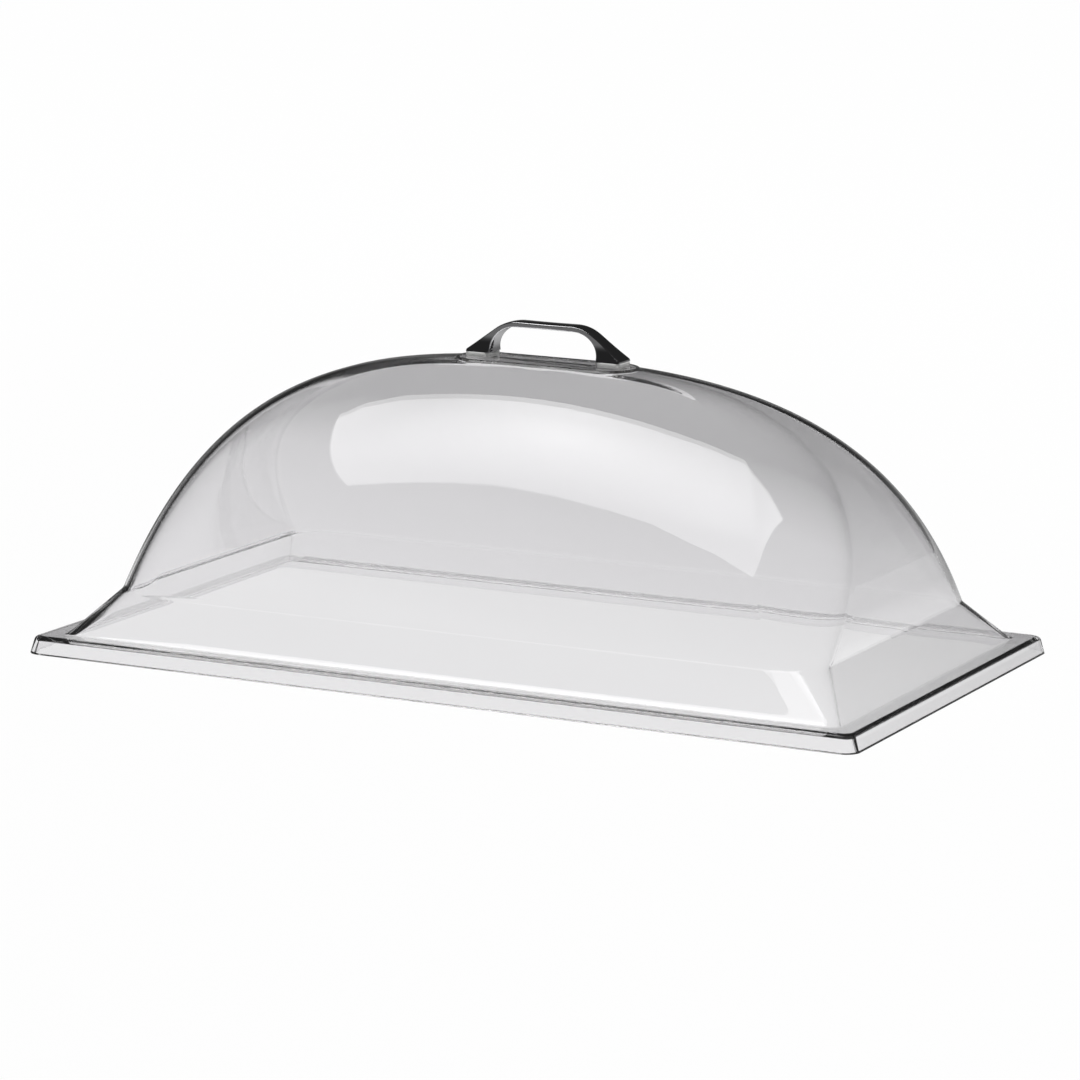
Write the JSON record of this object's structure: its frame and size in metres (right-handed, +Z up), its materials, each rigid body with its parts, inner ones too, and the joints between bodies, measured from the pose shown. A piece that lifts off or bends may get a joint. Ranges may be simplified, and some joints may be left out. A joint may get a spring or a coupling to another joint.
{
  "type": "food cover",
  "caption": "Clear loaf-shaped display cover for a rectangular food tray, with a flared lip, a flat flange, a mitred skirt and a chrome bow handle on its ridge.",
  "frame": {"origin": "middle of the cover's foot, on the surface that it stands on", "axes": "+X along the cover and its handle, -Y its front, +Z up"},
  "size_m": [0.508, 0.305, 0.1915],
  "materials": {
    "clear_sheet": "clear thermoformed sheet, high gloss on both sides",
    "chrome_plate": "polished chrome plate on a die casting",
    "pad_plastic": "translucent moulded plastic, satin",
    "fastener_steel": "plain stainless steel"
  },
  "bodies": {
    "root": {"dome_cover": "clear_sheet", "handle": "chrome_plate", "foot_pad_left": "pad_plastic", "foot_pad_right": "pad_plastic", "screw_washer_left": "fastener_steel", "screw_washer_right": "fastener_steel", "handle_screw_left": "fastener_steel", "handle_screw_right": "fastener_steel"}
  },
  "joints": []
}
